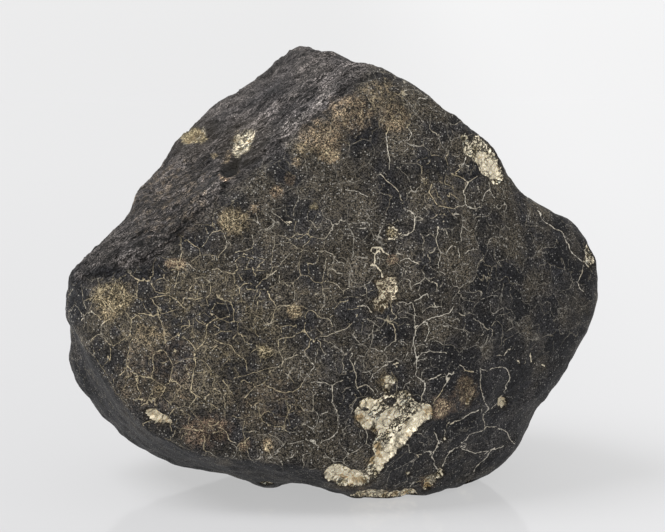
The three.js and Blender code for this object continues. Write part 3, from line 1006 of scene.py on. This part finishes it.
# ---- Relief ----
# Flight, falls and weather shaped the skin: long swells and lumps under the crust, runs of melt above the
# brow, plates that curl a little at their cracks, and rough hollows where the crust is gone.
RELIEF = {  # sizes and heights in millimetres
    "Swell Height": 0.4, "Lump Height": 0.25, "Crumb Height": 0.13, "Run Height": 0.3, "Break Depth": 0.7,
    "Break Roughness": 0.24, "Plate Curl": 0.07,
}
weather = bpy.data.node_groups.new("weathered skin", "GeometryNodeTree")
weather.is_modifier = True
weather.interface.new_socket("Geometry", in_out="INPUT", socket_type="NodeSocketGeometry")
for label in RELIEF:
    weather.interface.new_socket(label, in_out="INPUT", socket_type="NodeSocketFloat")
weather.interface.new_socket("Geometry", in_out="OUTPUT", socket_type="NodeSocketGeometry")
given = weather.nodes.new("NodeGroupInput").outputs


def step(kind, feeds, **settings):
    """What one more node of the relief gives"""
    return node(weather, "GeometryNode" + kind, feeds, **settings).outputs[0]


def kept(name, kind="FLOAT"):
    """What the skin keeps under a name"""
    return step("InputNamedAttribute", {"Name": name}, data_type=kind)


SWELL_SIZE = 11
LUMP_SIZE = 3.2
CRUMB_SIZE = 1.1
RUN_SIZE = 0.9
FULL_SWING = 1.6  # brings noise, which seldom leaves its middle, to about 1 each way
place = kept("skin", "FLOAT_VECTOR")
swell = product(uneven(place, SWELL_SIZE, FULL_SWING, detail=1), given["Swell Height"])
lumps = product(uneven(place, LUMP_SIZE, FULL_SWING, detail=1), given["Lump Height"])
crumbs = product(uneven(place, CRUMB_SIZE, FULL_SWING), given["Crumb Height"], rest_of(kept("calm")))
ridges = maths("ABSOLUTE", uneven(drawn_out(place, *RUNS_ALONG), RUN_SIZE, 3, warp=0.4))
run_relief = product(ridges, given["Run Height"], kept("runs"), -1)

edge = total(kept("break edge"), uneven(place, 1.3, 0.45), uneven(place, 0.6, 0.2))
open_rock = ramp(edge, 0.15, -0.35)
floor_lumps = product(uneven(place, 0.9, 1.5, rough=0.7), given["Break Roughness"])
floor_depth = total(given["Break Depth"], floor_lumps)
to_border = vectors("LENGTH", kept("wide crack", "FLOAT_VECTOR"))
curl = product(ramp(to_border, 0.8, 0), kept("wide crack strength"), given["Plate Curl"], -1)
height = total(
    swell, lumps, crumbs, run_relief, curl, product(kept("pressed"), -1), product(open_rock, floor_depth, -1)
)
shift = vectors("SCALE", step("InputNormal", {}), product(height, MM))
marks = {"Geometry": given["Geometry"], "Name": "broken", "Value": edge}
marked = step("StoreNamedAttribute", marks, data_type="FLOAT", domain="POINT")
moved = step("SetPosition", {"Geometry": marked, "Offset": shift})
spot = node(weather, "ShaderNodeSeparateXYZ", {"Vector": step("InputPosition", {})}).outputs
level = {"X": spot["X"], "Y": spot["Y"], "Z": maths("MAXIMUM", spot["Z"], 0)}  # nothing below the floor
level = node(weather, "ShaderNodeCombineXYZ", level).outputs[0]
rested = step("SetPosition", {"Geometry": moved, "Position": level})
plain = step("RealizeInstances", {"Geometry": rested})
finished = step("SetMaterial", {"Geometry": plain, "Material": finish})
feed(finished, weather.nodes.new("NodeGroupOutput").inputs["Geometry"])

weathering = stone.modifiers.new("weathered skin", "NODES")
weathering.node_group = weather
for item in weather.interface.items_tree:
    if item.name in RELIEF:
        weathering[item.identifier] = RELIEF[item.name]
settle(stone)
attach(stone, "root")
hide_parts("stone")


# ---- Floor and light ----
# A pale, faintly glossy light table, and a white room with soft lamps above, at the left and in front.
FLOOR_SIZE = 6
FLOOR_GREY = colour("7A7A7C")
FLOOR_ROUGHNESS = 0.1
FLOOR_GLOSS = 0.04
FLOOR_GLOW = 0.46
FAR_DIMMING = 0.08  # the glow is weaker at the far end
RIGHT_GAIN = 0.17  # and stronger at the right
ROOM_BRIGHTNESS = 0.62
half = FLOOR_SIZE / 2
corners = [(-half, -half, 0), (half, -half, 0), (half, half, 0), (-half, half, 0)]
table_mesh = bpy.data.meshes.new("table")
table_mesh.from_pydata(corners, [], [(0, 1, 2, 3)])
table = bpy.data.objects.new("table", table_mesh)
scene.collection.objects.link(table)
table_top = bpy.data.materials.new("table top")
table_top.use_nodes = True
tree = table_top.node_tree
place = tree.nodes.new("ShaderNodeTexCoord").outputs["Object"]
spot = node(tree, "ShaderNodeSeparateXYZ", {"Vector": place}).outputs
dimmed = product(ramp(spot["Y"], 0.1, 0.9), -FAR_DIMMING)
table_look = {
    "Base Color": FLOOR_GREY, "Roughness": FLOOR_ROUGHNESS, "Specular IOR Level": FLOOR_GLOSS,
    "Emission Color": total(1, dimmed, product(ramp(spot["X"], -0.01, 0.07), RIGHT_GAIN)),
    "Emission Strength": FLOOR_GLOW,
}
for name, look in table_look.items():
    feed(look, tree.nodes["Principled BSDF"].inputs[name])
table_mesh.materials.append(table_top)

room = bpy.data.worlds.new("white room")
room.use_nodes = True
background = room.node_tree.nodes["Background"].inputs
background["Color"].default_value = (1, 1, 1, 1)
background["Strength"].default_value = ROOM_BRIGHTNESS
scene.world = room


def soft_lamp(name, place, size, power):
    """A square lamp that points at the stone"""
    lamp = bpy.data.lights.new(name, "AREA")
    lamp.size = size
    lamp.energy = power
    holder = bpy.data.objects.new(name, lamp)
    holder.location = place
    holder.rotation_euler = (AIM - holder.location).to_track_quat("-Z", "Y").to_euler()
    scene.collection.objects.link(holder)


soft_lamp("lamp above left", Vector((-0.8, -0.2, 1.3)), 0.9, 24)
soft_lamp("lamp in front", Vector((0.2, -0.7, 0.5)), 0.5, 0.4)
scene.view_settings.view_transform = "Standard"
